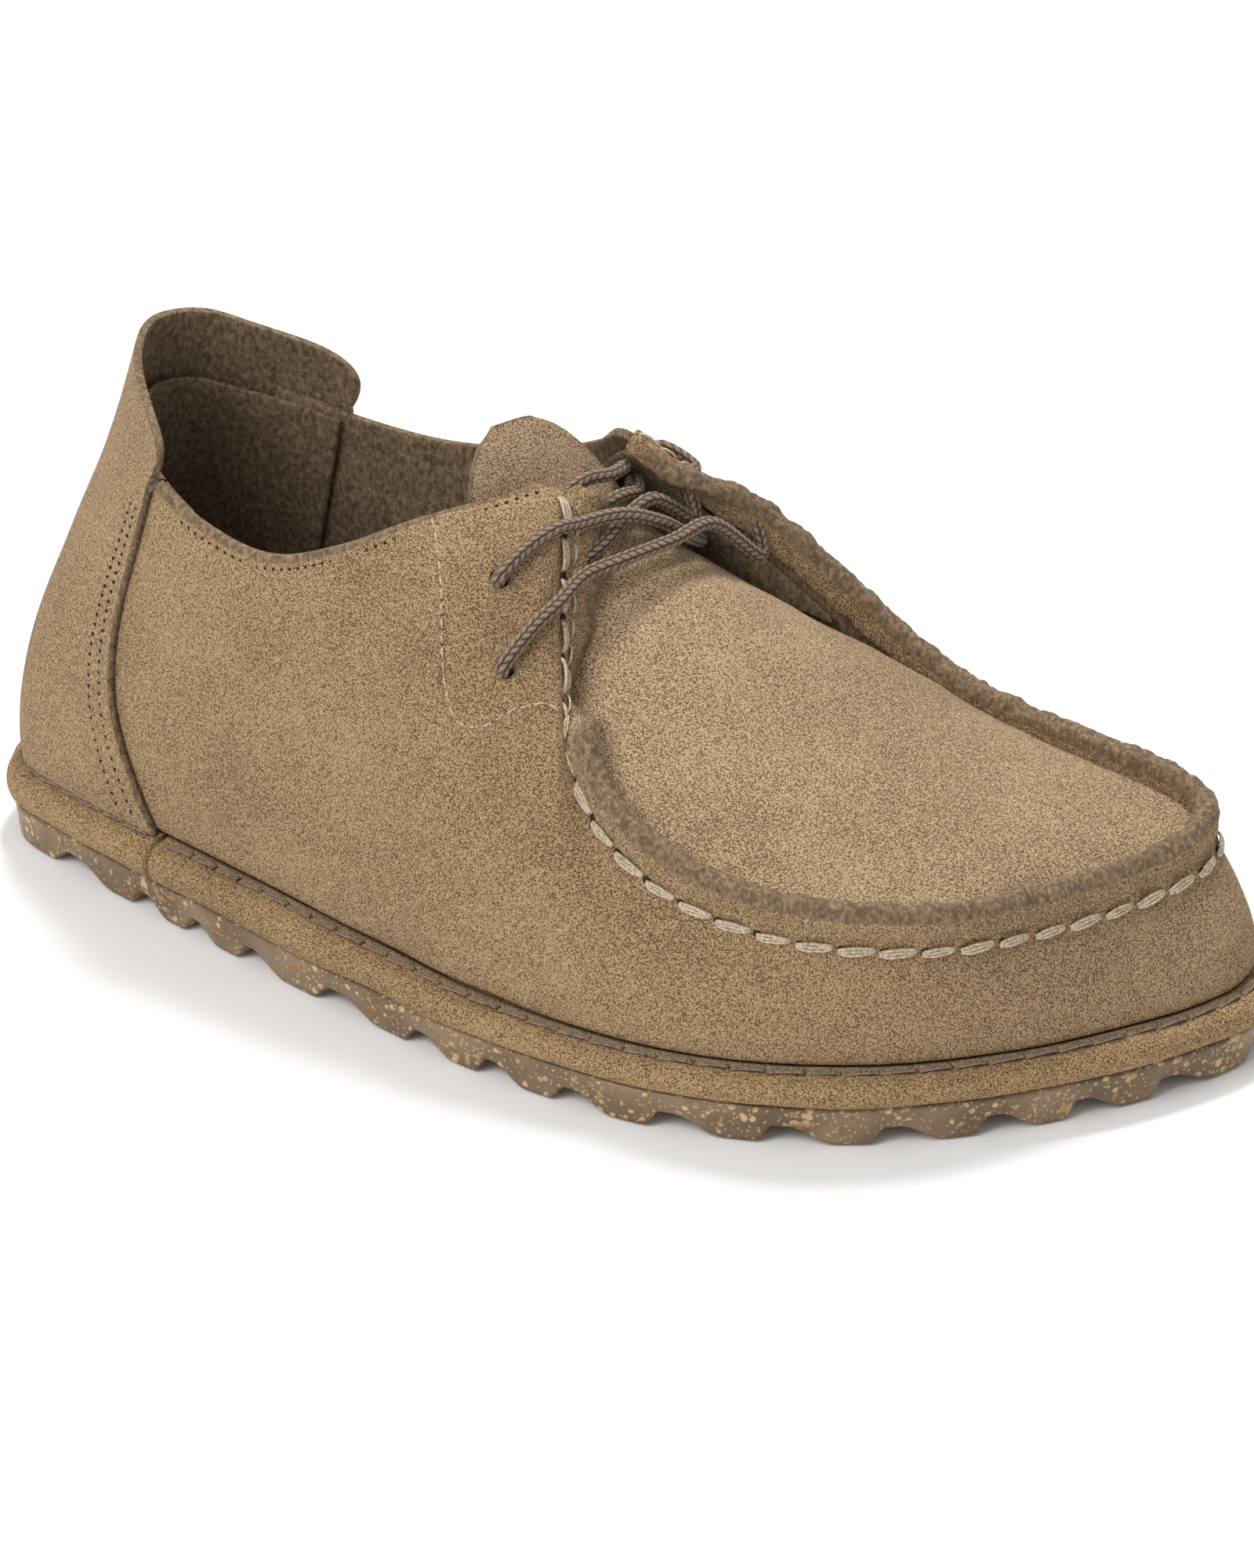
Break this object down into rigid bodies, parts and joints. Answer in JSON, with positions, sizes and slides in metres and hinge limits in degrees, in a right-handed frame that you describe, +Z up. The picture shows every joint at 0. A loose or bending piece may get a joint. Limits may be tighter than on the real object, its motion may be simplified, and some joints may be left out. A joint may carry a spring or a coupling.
{
  "type": "lace-up moccasin",
  "caption": "Low suede lace-up moccasin for a right foot: lugged rubber sole, rolled rand, crowned apron with a tongue, raised heel tab and a round cotton lace.",
  "frame": {"origin": "on the floor, under the middle of the sole", "axes": "+X towards the toe, -Y the outer side of the foot, +Z up"},
  "size_m": [0.2726, 0.1136, 0.1155],
  "materials": {
    "suede": "napped taupe suede",
    "apron_suede": "napped lighter taupe suede",
    "rand_suede": "napped taupe suede over a padded roll",
    "dark_suede": "rough flesh-side suede, dark brown",
    "liner_suede": "brushed suede",
    "cork": "pressed cork granules",
    "stiffener": "pressed leatherboard",
    "rubber": "moulded brown rubber with cork granules",
    "cotton": "round braided cotton",
    "tip_plastic": "smooth"
  },
  "bodies": {
    "root": {"outsole": "rubber", "footbed_core": "cork", "footbed_liner": "liner_suede", "rand_front": "rand_suede", "rand_heel": "rand_suede", "side_wall": "suede", "outer_facing_lining": "dark_suede", "inner_facing_lining": "dark_suede", "heel_counter": "suede", "heel_stiffener": "stiffener", "heel_lining": "dark_suede", "apron": "apron_suede", "lace": "cotton", "lace_tip_inner": "tip_plastic", "lace_tip_outer": "tip_plastic"},
    "tongue": {"tongue": "apron_suede"}
  },
  "joints": [
    {"name": "tongue_lift", "type": "hinge", "parent": "root", "child": "tongue", "pos_m": [0.035, 0.002, 0.066], "axis": [0.231, 0.973, 0], "range_deg": [-12, 0], "stiffness_Nm_per_rad": 0.6}
  ]
}
